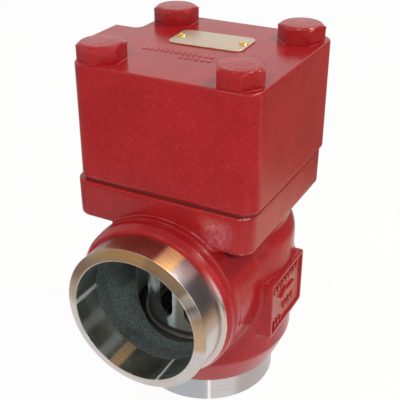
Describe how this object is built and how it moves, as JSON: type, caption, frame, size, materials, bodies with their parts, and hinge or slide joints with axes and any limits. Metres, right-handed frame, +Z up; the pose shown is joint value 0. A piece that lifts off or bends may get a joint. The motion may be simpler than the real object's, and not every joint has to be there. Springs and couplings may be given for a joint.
{
  "type": "pilot operated safety valve",
  "caption": "Angle pattern safety valve with butt weld ends, block cover, pilot port, and a spring loaded cone driven open by a servo piston.",
  "frame": {"origin": "centre of the inlet (bottom) weld end's face, on which the valve stands", "axes": "+Z up along the inlet, seat and spindle axis, -Y along the outlet, -X towards the pilot port"},
  "size_m": [0.1295, 0.1437, 0.2283],
  "materials": {
    "red_paint": "glossy paint on a sand casting",
    "machined_steel": "turned",
    "ground_steel": "ground",
    "zinc_steel": "zinc plated",
    "spring_steel": "dark",
    "piston_iron": "turned",
    "plate_metal": "satin",
    "rivet_brass": "polished",
    "bush_bronze": "turned",
    "gasket_fibre": "matt",
    "seal_rubber": "matt",
    "seal_plastic": "turned"
  },
  "bodies": {
    "housing": {"valve_body": "red_paint", "cover": "red_paint", "cover_gasket": "gasket_fibre", "cover_bolts": "red_paint", "id_plate": "plate_metal", "id_plate_rivets": "rivet_brass", "seat_ring": "machined_steel", "seat_oring": "seal_rubber", "cage": "machined_steel", "cage_oring": "seal_rubber", "guide_insert": "machined_steel", "guide_bush": "bush_bronze", "bush_circlip": "spring_steel", "spring_washer": "spring_steel", "return_spring": "spring_steel"},
    "piston_set": {"servo_piston": "piston_iron", "piston_rings": "seal_plastic", "piston_wear_ring": "seal_plastic", "piston_washer": "zinc_steel", "piston_nut": "zinc_steel", "bleed_screw": "rivet_brass", "spindle": "ground_steel", "valve_cone": "machined_steel", "cone_seal_ring": "seal_plastic", "cone_retainer": "machined_steel", "cone_washer": "zinc_steel", "cone_nut": "zinc_steel"}
  },
  "joints": [
    {"name": "cone_lift", "type": "slide", "parent": "housing", "child": "piston_set", "axis": [0, 0, -1], "range_m": [0, 0.014], "stiffness_N_per_m": 9150, "springref_m": -0.014, "deforming": ["return_spring"]}
  ]
}
